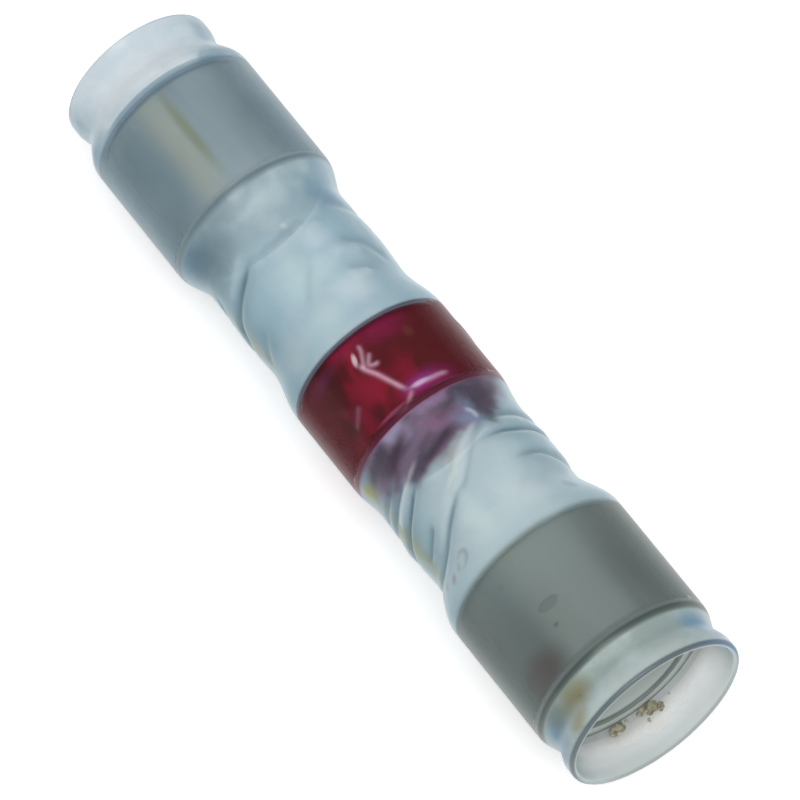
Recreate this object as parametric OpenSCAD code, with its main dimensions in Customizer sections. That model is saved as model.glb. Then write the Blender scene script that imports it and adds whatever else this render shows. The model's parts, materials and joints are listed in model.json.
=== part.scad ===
// Solder sleeve, half shrunk and lying on its side along the X axis.
// A clear film holds a sealing ring near each end and a ring of fluxed
// solder in the middle. The front end, at +X, is the wider one, so the
// sleeve's own axis rises a little towards it.

/* [Film sleeve] */
// Length from rim to rim
sleeve_length = 40; // [34:0.5:60]
// Thickness of the shrunk film
film_wall = 0.3; // [0.25:0.01:0.36]
// How far the film draws in from the front ring to the waist before the rim
front_waist_draw = 0.32; // [0.1:0.01:0.45]
// How far the front rim flares out again from its waist
front_rim_flare = 0.23; // [0:0.01:0.3]
// How far the film draws in from the front ring to its neck
front_neck_draw = 0.7; // [0.3:0.01:0.9]
// How far the film draws in from the rear ring to the waist before the rim
rear_waist_draw = 0.6; // [0.1:0.01:0.7]
// How far the rear rim flares out again from its waist
rear_rim_flare = 0.16; // [0:0.01:0.3]
// How far the film draws in from the rear ring to its neck
rear_neck_draw = 0.58; // [0.2:0.01:0.9]
// Distance of each waist from its rim
waist_inset = 1.4; // [1:0.05:1.6]
// Length of the straight lip at each rim
lip_run = 0.55; // [0.2:0.05:0.7]
// How far each rim wanders in and out of round
rim_wave = 0.05; // [0:0.01:0.1]
// How far the film is pressed flat where the sleeve lies on it
rest_flat = 0.09; // [0:0.01:0.12]
// How far the film swells out half way along each neck
neck_swell = 0.12; // [0:0.01:0.2]
// Run of the film from a sealing ring down to its neck
ring_shoulder = 1.8; // [1.5:0.1:2.6]
// Run of the film from the solder ring down to each neck
solder_shoulder = 1.8; // [1.4:0.1:2.4]

/* [Folds] */
// Height of the folds that stand on the necks
fold_height = 0.16; // [0:0.01:0.2]
// Half width of one fold
fold_half_w = 0.42; // [0.25:0.01:0.6]

/* [Sealing rings] */
// Length of each ring
ring_length = 6.7; // [5:0.1:7.5]
// Distance from the front rim to the end face of the front ring
front_ring_inset = 2.35; // [2.1:0.05:4]
// Distance from the rear rim to the end face of the rear ring
rear_ring_inset = 2.7; // [2.1:0.05:4]
// Wall of each ring
ring_wall = 0.9; // [0.8:0.01:1.1]
// Bore of the front ring
front_bore_d = 6.7; // [6.2:0.02:8]
// Bore of the rear ring
rear_bore_d = 6; // [5.8:0.02:7.2]
// Rounding of the outer edges of each ring
ring_edge = 0.4; // [0.1:0.05:0.45]

/* [Solder ring] */
// Length of the solder ring
solder_length = 4.8; // [3.5:0.1:6]
// Bore of the solder ring
solder_bore_d = 6.2; // [5.8:0.02:7]
// Wall of the solder ring with its flux
solder_wall = 0.67; // [0.5:0.01:0.8]
// How far the solder ring has slipped towards the front
solder_shift = 0.6; // [-1:0.05:1]
// Rounding of the outer edges of the solder ring
solder_edge = 0.4; // [0.1:0.05:0.45]

/* [Hidden] */

$fn = 96;
film_sides = 60; // flats round the film, one of them underneath
film_step = 0.36; // longest step along the film where it curves
seat_gap = 0.02; // between a ring and the film shrunk over it
bore_edge = 0.12; // rounding at the mouths of every bore
edge_steps = 5; // flats round a rounded edge
mouth_run = 1; // how far the cavity's cutter runs past each rim

// Outer radii of the rings, and of the film where it lies over them
front_ring_r = front_bore_d / 2 + ring_wall;
rear_ring_r = rear_bore_d / 2 + ring_wall;
solder_r = solder_bore_d / 2 + solder_wall;
front_film_r = front_ring_r + seat_gap + film_wall;
rear_film_r = rear_ring_r + seat_gap + film_wall;
solder_film_r = solder_r + seat_gap + film_wall;

// Outer radii of the film between the rings and at its rims
front_waist_r = front_film_r - front_waist_draw;
front_rim_r = front_waist_r + front_rim_flare;
front_neck_r = front_film_r - front_neck_draw;
rear_waist_r = rear_film_r - rear_waist_draw;
rear_rim_r = rear_waist_r + rear_rim_flare;
rear_neck_r = rear_film_r - rear_neck_draw;

// Places along the sleeve
rim_x = sleeve_length / 2;
waist_x = rim_x - waist_inset;
front_ring_x = rim_x - front_ring_inset - ring_length / 2;
rear_ring_x = -rim_x + rear_ring_inset + ring_length / 2;

// The film lies straight over a ring up to the middle of its rounded edges
ring_hold = (ring_length - ring_edge) / 2;
solder_hold = (solder_length - solder_edge) / 2;

// Each neck runs from the foot of the solder's shoulder to the ring's
front_neck = [solder_shift + solder_hold + solder_shoulder,
              front_ring_x - ring_hold - ring_shoulder];
rear_neck = [solder_shift - solder_hold - solder_shoulder,
             rear_ring_x + ring_hold + ring_shoulder];
front_swell_at = 0.62;
rear_swell_at = 0.4;

// The sleeve lies on both rings. The wider one touches at its nearer edge
// and the narrower one at its far edge.
front_wider = front_film_r >= rear_film_r;
foot = front_wider ? -ring_hold : ring_hold;
front_foot_x = front_ring_x + foot;
rear_foot_x = rear_ring_x + foot;
rise = (front_film_r - rear_film_r) / (front_foot_x - rear_foot_x);
lean = atan(rise);

// The film's outline, as places with the outer radius there, rear to front
outline = [
    [-rim_x, rear_rim_r],
    [lip_run - rim_x, rear_rim_r],
    [-waist_x, rear_waist_r],
    [rear_ring_x - ring_hold, rear_film_r],
    [rear_ring_x + ring_hold, rear_film_r],
    [rear_neck[1], rear_neck_r],
    [along(rear_neck, rear_swell_at), rear_neck_r + neck_swell],
    [rear_neck[0], rear_neck_r + neck_swell / 3],
    [solder_shift - solder_hold, solder_film_r],
    [solder_shift + solder_hold, solder_film_r],
    [front_neck[0], front_neck_r],
    [along(front_neck, front_swell_at), front_neck_r + neck_swell],
    [front_neck[1], front_neck_r],
    [front_ring_x - ring_hold, front_film_r],
    [front_ring_x + ring_hold, front_film_r],
    [waist_x, front_waist_r],
    [rim_x - lip_run, front_rim_r],
    [rim_x, front_rim_r],
];

// Folds of the film: neck, share along it and angle where the fold starts,
// the same where it ends, and its height against the tallest. Angles turn
// from +Y up to +Z, and a share of 0 is at the solder.
folds = [
    [front_neck, 0.12, 70, 1.12, 184, 1],
    [front_neck, 0.02, 108, 0.6, 178, 0.9],
    [front_neck, 0.05, 132, 0.4, 172, 0.7],
    [front_neck, 0.62, 140, 0.86, 176, 0.5],
    [front_neck, 0.3, 76, 0.42, 36, 0.6],
    [front_neck, 0.6, 80, 0.85, 36, 0.5],
    [front_neck, 0.1, 8, 0.75, -58, 0.8],
    [front_neck, 0.85, 215, 0.3, 262, 0.7],
    [rear_neck, 0.8, 124, 0.4, 194, 0.9],
    [rear_neck, 0.22, 152, 0.02, 182, 0.5],
    [rear_neck, 0.4, 70, 0.02, 30, 0.7],
    [rear_neck, 0.16, 86, 0.02, 52, 0.5],
    [rear_neck, 0.86, 62, 0.9, 30, 0.5],
    [rear_neck, 0.9, 214, 0.2, 268, 0.8],
    [rear_neck, 0.7, -20, 0.25, -66, 0.6],
];

// Place at a share of the way along a neck
function along(neck, share) = neck[0] + share * (neck[1] - neck[0]);

// Eases a share from 0 to 1 with level ends
function eased(t) = t * t * (3 - 2 * t);

// The film's plain outer radius at x, gliding from place to place
function film_r(x, i = 0) =
    x > outline[i + 1][0] && i < len(outline) - 2 ? film_r(x, i + 1) :
    let (a = outline[i], b = outline[i + 1])
    a[1] + (b[1] - a[1]) * eased((x - a[0]) / (b[0] - a[0]));

// The film is stepped only where its radius changes
function steps_after(i) =
    outline[i][1] == outline[i + 1][1] ? 1 :
    ceil((outline[i + 1][0] - outline[i][0]) / film_step);

film_x = concat(
    [for (i = [0 : len(outline) - 2], n = steps_after(i), k = [0 : n - 1])
        outline[i][0] + (outline[i + 1][0] - outline[i][0]) * k / n],
    [rim_x]);

// Angle brought to within half a turn
function half_turn(a) = a - 360 * round(a / 360);

// Across a fold: a crest with a furrow on one side
function crease(s) = exp(-s * s) - 0.6 * exp(-pow(s - 1.7, 2));

// What one fold adds to the radius at x and angle a, on the film laid flat
function fold_rise(fold, x, a) =
    let (
        mm_per_degree = PI * film_r(x) / 180,
        start_x = along(fold[0], fold[1]),
        run = [along(fold[0], fold[3]) - start_x, half_turn(fold[4] - fold[2]) * mm_per_degree],
        here = [x - start_x, half_turn(a - fold[2]) * mm_per_degree],
        share = here * run / (run * run),
        off = cross(run, here) / norm(run)
    )
    share <= 0 || share >= 1 ? 0 :
    fold[5] * fold_height * sqrt(sin(180 * share)) * crease(off / fold_half_w);

function folds_rise(x, a, i = 0) =
    i == len(folds) ? 0 : fold_rise(folds[i], x, a) + folds_rise(x, a, i + 1);

// What an unround rim adds, fading out at the waist
function rim_rise(x, a) =
    let (share = (abs(x) - waist_x) / waist_inset)
    share <= 0 ? 0 : rim_wave * eased(share) * sin(3 * a + sign(x) * 50);

// How far below the sleeve's own axis the surface is that it lies on
function floor_depth(x) = rear_film_r - rest_flat + rise * (x - rear_foot_x);

// The film's outer radius at x and angle a, pressed flat on that surface
function skin_r(x, a) =
    let (free_r = film_r(x) + folds_rise(x, a) + rim_rise(x, a), down = -sin(a))
    free_r * down > floor_depth(x) ? floor_depth(x) / down : free_r;

// One flat lies underneath, so the corners start half a flat round
function corner_angle(j) = (j + 0.5) * 360 / film_sides;

// Points of a rounded corner, with its centre c, from one angle to another
function rounding(c, r, from, to) =
    [for (k = [0 : edge_steps])
        let (a = from + (to - from) * k / edge_steps)
        c + r * [cos(a), sin(a)]];

// The outside of the film, as a solid loft from ring to ring of points
module film_outside() {
    n = film_sides;
    last = len(film_x) - 1;
    corners = [for (x = film_x, j = [0 : n - 1])
        let (a = corner_angle(j), r = skin_r(x, a))
        [x, r * cos(a), r * sin(a)]];
    skin = [for (i = [0 : last - 1], j = [0 : n - 1])
        let (p = i * n + j, q = i * n + (j + 1) % n)
        each [[p, q, p + n], [q, q + n, p + n]]];
    rear_face = [for (j = [n - 1 : -1 : 0]) j];
    front_face = [for (j = [0 : n - 1]) last * n + j];
    polyhedron(corners, concat(skin, [rear_face], [front_face]));
}

// Turns a profile drawn as [radius, place along the sleeve] round the X axis
module turned() {
    rotate([0, 90, 0])
        rotate_extrude()
            children();
}

// Everything inside the film, with a straight run out of each mouth
module film_cavity() {
    edge = [for (x = film_x) [film_r(x) - film_wall, x]];
    turned()
        polygon(concat(
            [[0, -rim_x - mouth_run], [edge[0][0], -rim_x - mouth_run]],
            edge,
            [[edge[len(edge) - 1][0], rim_x + mouth_run], [0, rim_x + mouth_run]]));
}

// A short tube with rounded edges, wider roundings outside than at the bore
module ring(inner, outer, length, edge) {
    top = length / 2;
    turned()
        polygon(concat(
            rounding([outer - edge, top - edge], edge, 0, 90),
            rounding([inner + bore_edge, top - bore_edge], bore_edge, 90, 180),
            rounding([inner + bore_edge, bore_edge - top], bore_edge, 180, 270),
            rounding([outer - edge, edge - top], edge, 270, 360)));
}

// Takes a piece from its place x on the sleeve's own axis to where it lies
module laid(x = 0) {
    translate([0, 0, floor_depth(0) * cos(lean)])
        rotate([0, -lean, 0])
            translate([x, 0, 0])
                children();
}

module film_sleeve() {
    color([0.72, 0.83, 0.88, 0.45])
        laid()
            difference() {
                film_outside();
                film_cavity();
            }
}

module front_sealing_ring() {
    color([0.47, 0.51, 0.49, 0.9])
        laid(front_ring_x)
            ring(front_bore_d / 2, front_ring_r, ring_length, ring_edge);
}

module rear_sealing_ring() {
    color([0.5, 0.55, 0.58, 0.9])
        laid(rear_ring_x)
            ring(rear_bore_d / 2, rear_ring_r, ring_length, ring_edge);
}

module solder_ring() {
    color([0.5, 0.07, 0.17])
        laid(solder_shift)
            ring(solder_bore_d / 2, solder_r, solder_length, solder_edge);
}

film_sleeve();
front_sealing_ring();
rear_sealing_ring();
solder_ring();
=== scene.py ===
# Solder sleeve, half shrunk, lying on a pale surface
import json
import math
import bmesh
import bpy
from mathutils import Matrix, Vector


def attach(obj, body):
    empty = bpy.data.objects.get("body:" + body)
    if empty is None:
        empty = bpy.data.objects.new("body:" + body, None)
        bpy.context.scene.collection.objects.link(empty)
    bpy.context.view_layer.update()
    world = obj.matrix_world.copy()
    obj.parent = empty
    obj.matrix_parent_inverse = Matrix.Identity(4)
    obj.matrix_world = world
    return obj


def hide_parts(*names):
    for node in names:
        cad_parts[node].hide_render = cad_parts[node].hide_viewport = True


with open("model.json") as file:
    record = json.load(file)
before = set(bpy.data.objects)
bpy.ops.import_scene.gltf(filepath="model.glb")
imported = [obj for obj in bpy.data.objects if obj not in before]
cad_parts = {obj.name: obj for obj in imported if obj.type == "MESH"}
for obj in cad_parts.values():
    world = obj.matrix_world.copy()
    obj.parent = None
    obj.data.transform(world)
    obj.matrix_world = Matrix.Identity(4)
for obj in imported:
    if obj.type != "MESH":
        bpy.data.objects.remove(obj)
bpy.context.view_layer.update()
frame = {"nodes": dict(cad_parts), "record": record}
scene = bpy.context.scene
print("frame loaded")

mm = 0.001
wrapRadius = 4.1  # mm, where a flat sheet is as wide as one turn round the sleeve
fullTurn = 2 * math.pi * wrapRadius
seamGap = 0.0005  # mm, points nearer than this become one
lineStep = 0.04  # mm, between the points of a drawn line
plasticIor = 1.5  # of the film, the rings and the flux


# The sleeve's own frame, in mm: +X along its axis to the wider end, 0 at mid length
def sleeveFrame():
    entry = next(m for m in frame["record"]["mounts"] if m["name"] == "front_wire_entry")
    place, axis = Vector(entry["pos_m"]), Vector(entry["axis"])
    return place - axis * (place.x / axis.x), math.atan2(axis.z, axis.x)


middle, lean = sleeveFrame()
toPart = Matrix.Translation(middle) @ Matrix.Rotation(-lean, 4, "Y") @ Matrix.Scale(mm, 4)
toSleeve = toPart.inverted()


def nodeSize(name):
    # ends and radii of a CAD node, in the sleeve's frame
    points = [toSleeve @ v.co for v in frame["nodes"][name].data.vertices]
    radii = [math.hypot(p.y, p.z) for p in points]
    return {
        "rear": min(p.x for p in points),
        "front": max(p.x for p in points),
        "bore": min(radii),
        "outer": max(radii),
    }


sizes = {name: nodeSize(name) for name in frame["nodes"]}


def across(angle):
    # angle round the sleeve, from +Y up to +Z, as a place across the flat sheet
    return math.radians(90 - angle) * wrapRadius


def linear(colour, alpha=1.0):
    # sRGB hex to the linear values that shaders use
    parts = [int(colour[i:i + 2], 16) / 255 for i in (1, 3, 5)]
    return [c / 12.92 if c <= 0.04045 else ((c + 0.055) / 1.055) ** 2.4 for c in parts] + [alpha]


def feed(tree, node, feeds):
    # sets inputs to values or links them to outputs; for a node, that is its first output
    for socket, value in feeds.items():
        if isinstance(value, bpy.types.Node):
            value = value.outputs[0]
        if isinstance(value, bpy.types.NodeSocket):
            tree.links.new(value, node.inputs[socket])
        else:
            node.inputs[socket].default_value = value


def addNode(tree, kind, feeds=None, **settings):
    # a node with its settings and what goes into its inputs
    node = tree.nodes.new(kind)
    for name, value in settings.items():
        setattr(node, name, value)
    feed(tree, node, feeds or {})
    return node


def newTree(name, kind, inputs, outputs):
    # a node group, what comes into it and the node for what goes out
    tree = bpy.data.node_groups.new(name, kind)
    for side, sockets in (("INPUT", inputs), ("OUTPUT", outputs)):
        for label, socketKind in sockets.items():
            tree.interface.new_socket(label, in_out=side, socket_type="NodeSocket" + socketKind)
    return tree, tree.nodes.new("NodeGroupInput").outputs, tree.nodes.new("NodeGroupOutput")


# Tubes are laid out as flat sheets, shaped there and then rolled round the axis.
# On a sheet X is along the sleeve, Y is round it and Z is minus the depth under the skin.
def flatSheet(name, loop, arcSteps):
    rows = [fullTurn * (k / arcSteps - 0.5) for k in range(arcSteps + 1)]
    points = [(x, y, -depth) for x, depth in loop for y in rows]
    width, count = len(rows), len(loop)
    faces = [
        (i * width + k, (i + 1) % count * width + k, (i + 1) % count * width + k + 1, i * width + k + 1)
        for i in range(count) for k in range(arcSteps)
    ]
    sheet = bpy.data.meshes.new(name)
    sheet.from_pydata(points, [], faces)
    return sheet


def roundCorner(x, depth, radius, start, steps):
    # a quarter turn about (x, depth), from the angle start, towards growing depth
    angles = [math.radians(start + 90 * k / steps) for k in range(steps + 1)]
    return [(x + radius * math.sin(a), depth - radius * math.cos(a)) for a in angles]


def spread(start, stop, step):
    # places from start to stop, both left out, about a step apart
    count = max(1, round(abs(stop - start) / step))
    return [start + (stop - start) * k / count for k in range(1, count)]


def pointPlace(tree):
    # where each point is, as X, Y and Z apart
    return addNode(tree, "ShaderNodeSeparateXYZ", {0: addNode(tree, "GeometryNodeInputPosition")}).outputs


def turnWaves(tree, flat):
    # sine and cosine of the turn round the axis that a place across the sheet stands for
    turn = addNode(tree, "ShaderNodeMath", {0: flat["Y"], 1: wrapRadius}, operation="DIVIDE")
    return [addNode(tree, "ShaderNodeMath", {0: turn}, operation=wave) for wave in ("SINE", "COSINE")]


def rollSheet(tree, geometry, skinRadius):
    # rolls a sheet round the axis with its skin at skinRadius and closes the seam
    flat = pointPlace(tree)
    radius = addNode(tree, "ShaderNodeMath", {0: skinRadius, 1: flat["Z"]})
    y, z = (addNode(tree, "ShaderNodeMath", {0: radius, 1: wave}, operation="MULTIPLY")
            for wave in turnWaves(tree, flat))
    rolled = addNode(tree, "ShaderNodeCombineXYZ", {"X": flat["X"], "Y": y, "Z": z})
    moved = addNode(tree, "GeometryNodeSetPosition", {"Geometry": geometry, "Position": rolled})
    return addNode(tree, "GeometryNodeMergeByDistance", {"Geometry": moved, "Distance": seamGap})


def finishTree(tree, geometry, material, out):
    smooth = addNode(tree, "GeometryNodeSetShadeSmooth", {0: geometry})
    real = addNode(tree, "GeometryNodeRealizeInstances", {0: smooth})
    dressed = addNode(tree, "GeometryNodeSetMaterial", {"Geometry": real, "Material": material})
    feed(tree, out, {"Geometry": dressed})


def growPiece(name, sheet, tree, values):
    # runs a node tree on a sheet and keeps the result as a plain mesh in the part's frame
    piece = bpy.data.objects.new(name, sheet)
    scene.collection.objects.link(piece)
    modifier = piece.modifiers.new("shape", "NODES")
    modifier.node_group = tree
    for item in tree.interface.items_tree:
        if item.in_out == "INPUT" and item.name in values:
            modifier[item.identifier] = values[item.name]
    graph = bpy.context.evaluated_depsgraph_get()
    plain = bpy.data.meshes.new_from_object(piece.evaluated_get(graph), depsgraph=graph)
    piece.modifiers.clear()
    piece.data = plain
    plain.name = name
    plain.transform(toPart)
    work = bmesh.new()
    work.from_mesh(plain)
    bmesh.ops.recalc_face_normals(work, faces=work.faces)
    work.to_mesh(plain)
    work.free()
    return piece


# Folds are drawn on the flat sheet as lines, each a soft crest or furrow along its path.
# A line is (path, height, width, family), with its path as (place along, angle) points.
# Where lines come close together they belong to different families.
def drawLines(name, lines):
    points, edges, kept = [], [], {"height": [], "width": [], "family": []}
    for path, *settings in lines:
        edges += [(i, i + 1) for i in range(len(points), len(points) + len(path) - 1)]
        points += [(x, across(angle), 0) for x, angle in path]
        for label, value in zip(kept, settings):
            kept[label] += [value] * len(path)
    mesh = bpy.data.meshes.new(name)
    mesh.from_pydata(points, edges, [])
    for label, kind in (("height", "FLOAT"), ("width", "FLOAT"), ("family", "INT")):
        mesh.attributes.new(label, kind, "POINT").data.foreach_set("value", kept[label])
    drawn = bpy.data.objects.new(name, mesh)
    scene.collection.objects.link(drawn)
    return drawn


def foldTree():
    # how far the lines of one family lift each point of a sheet
    tree, into, out = newTree("foldRise", "GeometryNodeTree", {
        "Lines": "Geometry", "Family": "Int", "Fade": "Float",
    }, {"Rise": "Float"})
    family, height, width = (
        addNode(tree, "GeometryNodeInputNamedAttribute", {"Name": label}, data_type=kind)
        for label, kind in (("family", "INT"), ("height", "FLOAT"), ("width", "FLOAT"))
    )
    chosen = addNode(tree, "FunctionNodeCompare", {2: family, 3: into["Family"]},
                     data_type="INT", operation="EQUAL")
    own = addNode(tree, "GeometryNodeSeparateGeometry", {"Geometry": into["Lines"], "Selection": chosen})
    curve = addNode(tree, "GeometryNodeMeshToCurve", {0: own})
    smooth = addNode(tree, "GeometryNodeCurveSplineType", {"Curve": curve}, spline_type="CATMULL_ROM")
    fine = addNode(tree, "GeometryNodeResampleCurve", {"Curve": smooth, "Length": lineStep}, mode="LENGTH")
    # each line dies away towards its ends
    share = addNode(tree, "GeometryNodeSplineParameter").outputs["Factor"]
    back = addNode(tree, "ShaderNodeMath", {0: 1.0, 1: share}, operation="SUBTRACT")
    nearEnd = addNode(tree, "ShaderNodeMath", {0: share, 1: back}, operation="MINIMUM")
    taper = addNode(tree, "ShaderNodeMapRange", {"Value": nearEnd, "From Max": into["Fade"]},
                    interpolation_type="SMOOTHSTEP")
    tapered = addNode(tree, "ShaderNodeMath", {0: height, 1: taper}, operation="MULTIPLY")
    kept = addNode(tree, "GeometryNodeStoreNamedAttribute", {
        "Geometry": fine, "Name": "height", "Value": tapered,
    }, data_type="FLOAT", domain="POINT")
    wires = addNode(tree, "GeometryNodeCurveToMesh", {"Curve": kept})
    # and falls off to either side as a bell does
    position = addNode(tree, "GeometryNodeInputPosition")
    here = addNode(tree, "ShaderNodeVectorMath", {0: position, 1: (1, 1, 0)}, operation="MULTIPLY")
    nearest = addNode(tree, "GeometryNodeSampleNearest", {"Geometry": wires, "Sample Position": here},
                      domain="POINT")
    place, height, width = (
        addNode(tree, "GeometryNodeSampleIndex", {"Geometry": wires, "Value": source, "Index": nearest},
                data_type=kind, domain="POINT")
        for source, kind in ((position, "FLOAT_VECTOR"), (height, "FLOAT"), (width, "FLOAT"))
    )
    away = addNode(tree, "ShaderNodeVectorMath", {0: here, 1: place}, operation="DISTANCE").outputs["Value"]
    scaled = addNode(tree, "ShaderNodeMath", {0: away, 1: width}, operation="DIVIDE")
    squared = addNode(tree, "ShaderNodeMath", {0: scaled, 1: scaled}, operation="MULTIPLY")
    minus = addNode(tree, "ShaderNodeMath", {0: squared, 1: -1.0}, operation="MULTIPLY")
    bell = addNode(tree, "ShaderNodeMath", {0: minus}, operation="EXPONENT")
    rise = addNode(tree, "ShaderNodeMath", {0: bell, 1: height}, operation="MULTIPLY")
    feed(tree, out, {"Rise": rise})
    return tree


foldRise = foldTree()


def addFolds(tree, drawing, lines, fade):
    # all families together: how far they lift the skin, and their furrows and crests apart;
    # fade is the share of each line over which it dies away at either end
    drawn = addNode(tree, "GeometryNodeObjectInfo", {"Object": drawing}).outputs["Geometry"]
    sums = {"Rise": 0.0, "Furrow": 0.0, "Crest": 0.0}
    for family in sorted({line[-1] for line in lines}):
        rise = addNode(tree, "GeometryNodeGroup", {"Lines": drawn, "Family": family, "Fade": fade},
                       node_tree=foldRise)
        fall = addNode(tree, "ShaderNodeMath", {0: rise, 1: -1.0}, operation="MULTIPLY")
        parts = {
            "Rise": rise,
            "Furrow": addNode(tree, "ShaderNodeMath", {0: fall, 1: 0.0}, operation="MAXIMUM"),
            "Crest": addNode(tree, "ShaderNodeMath", {0: rise, 1: 0.0}, operation="MAXIMUM"),
        }
        for label, part in parts.items():
            sums[label] = addNode(tree, "ShaderNodeMath", {0: sums[label], 1: part})
    return sums


# Places in the sleeve's frame, for shaders
def sleevePlaces():
    tree, _, out = newTree("sleevePlaces", "ShaderNodeTree", {}, {
        "Along": "Float", "Around": "Float", "Radius": "Float", "Place": "Vector",
    })
    place = addNode(tree, "ShaderNodeMapping", {
        "Vector": addNode(tree, "ShaderNodeTexCoord").outputs["Object"],
        "Location": Matrix.Rotation(lean, 4, "Y") @ (middle / mm) * -1,
        "Rotation": (0, lean, 0),
        "Scale": (1 / mm,) * 3,
    })
    axes = addNode(tree, "ShaderNodeSeparateXYZ", {0: place}).outputs
    turned = addNode(tree, "ShaderNodeMath", {0: axes["Y"], 1: axes["Z"]}, operation="ARCTAN2")
    around = addNode(tree, "ShaderNodeMath", {0: turned, 1: wrapRadius}, operation="MULTIPLY")
    flat = addNode(tree, "ShaderNodeCombineXYZ", {"X": axes["Y"], "Y": axes["Z"]})
    radius = addNode(tree, "ShaderNodeVectorMath", {0: flat}, operation="LENGTH").outputs["Value"]
    feed(tree, out, {"Along": axes["X"], "Around": around, "Radius": radius, "Place": place})
    return tree


def ovalMark(name, kind):
    # 1 inside an oval mark, fading to 0 over its soft rim
    inputs = ("Along", "Around", "At", "Across", "Half length", "Half width", "Slant", "Softness")
    tree, into, out = newTree(name, kind, dict.fromkeys(inputs, "Float"), {"Mask": "Float"})
    dx = addNode(tree, "ShaderNodeMath", {0: into["Along"], 1: into["At"]}, operation="SUBTRACT")
    dy = addNode(tree, "ShaderNodeMath", {0: into["Around"], 1: into["Across"]}, operation="SUBTRACT")
    dy = addNode(tree, "ShaderNodeMath", {0: dy, 1: fullTurn / 2, 2: -fullTurn / 2}, operation="WRAP")
    flat = addNode(tree, "ShaderNodeCombineXYZ", {"X": dx, "Y": dy})
    turned = addNode(tree, "ShaderNodeVectorRotate", {"Vector": flat, "Angle": into["Slant"]},
                     rotation_type="Z_AXIS")
    size = addNode(tree, "ShaderNodeCombineXYZ", {
        "X": into["Half length"], "Y": into["Half width"], "Z": 1.0,
    })
    scaled = addNode(tree, "ShaderNodeVectorMath", {0: turned, 1: size}, operation="DIVIDE")
    reach = addNode(tree, "ShaderNodeVectorMath", {0: scaled}, operation="LENGTH").outputs["Value"]
    inner = addNode(tree, "ShaderNodeMath", {0: 1.0, 1: into["Softness"]}, operation="SUBTRACT")
    outer = addNode(tree, "ShaderNodeMath", {0: 1.0, 1: into["Softness"]})
    mask = addNode(tree, "ShaderNodeMapRange", {
        "Value": reach, "From Min": inner, "From Max": outer, "To Min": 1.0, "To Max": 0.0,
    }, interpolation_type="SMOOTHSTEP")
    feed(tree, out, {"Mask": mask})
    return tree


placesTree = sleevePlaces()
markTrees = {
    "ShaderNodeTree": ovalMark("ovalMark", "ShaderNodeTree"),
    "GeometryNodeTree": ovalMark("ovalMarkOnSheet", "GeometryNodeTree"),
}


def newMaterial(name):
    material = bpy.data.materials.new(name)
    material.use_nodes = True
    tree = material.node_tree
    return material, tree, tree.nodes["Principled BSDF"]


def markMask(tree, places, at, angle, halfLength, halfWidth, slant, softness, strength):
    kind = tree.bl_idname
    mask = addNode(tree, kind.replace("NodeTree", "NodeGroup"), {
        "Along": places["Along"], "Around": places["Around"], "At": at, "Across": across(angle),
        "Half length": halfLength, "Half width": halfWidth,
        "Slant": math.radians(slant), "Softness": softness,
    }, node_tree=markTrees[kind])
    return addNode(tree, "ShaderNodeMath", {0: mask, 1: strength}, operation="MULTIPLY")


def addLayers(tree, colour, *layers):
    # lays tints over a colour, one after another; each layer is (share, tint)
    for share, tint in layers:
        under, coat = (linear(c) if isinstance(c, str) else c for c in (colour, tint))
        colour = addNode(tree, "ShaderNodeMix", {0: share, 6: under, 7: coat}, data_type="RGBA").outputs[2]
    return colour


# A mark is (place along, angle, half length, half width, slant, softness, tint, strength)
def addMarks(tree, colour, places, marks):
    for *shape, tint, strength in marks:
        colour = addLayers(tree, colour, (markMask(tree, places, *shape, strength), tint))
    return colour


def addEndLines(tree, colour, along, lines, strength=0.9):
    # painted shade: dark lines at the ends of a ring; each is (end, how far from it the line is full,
    # how far from it the line is gone, tint)
    for end, full, gone, tint in lines:
        line = addNode(tree, "ShaderNodeMapRange", {
            "Value": along, "From Min": end + full, "From Max": end + gone,
            "To Min": strength, "To Max": 0.0,
        }, interpolation_type="SMOOTHSTEP")
        colour = addLayers(tree, colour, (line, tint))
    return colour


def setStops(ramp, stops):
    # the stops of a colour ramp are (position, colour) or (position, colour, alpha)
    points = ramp.color_ramp.elements
    for i, (position, *tone) in enumerate(stops):
        point = points[i] if i < 2 else points.new(1.0)
        point.position = position
        point.color = linear(*tone)
    return ramp


def alongRamp(tree, along, stops):
    # colour and alpha that change along the sleeve; stops are (place, colour, alpha)
    first, last = stops[0][0], stops[-1][0]
    share = addNode(tree, "ShaderNodeMapRange", {"Value": along, "From Min": first, "From Max": last})
    ramp = addNode(tree, "ShaderNodeValToRGB", {0: share})
    ramp.color_ramp.interpolation = "EASE"
    return setStops(ramp, [((x - first) / (last - first), *tone) for x, *tone in stops])


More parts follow.
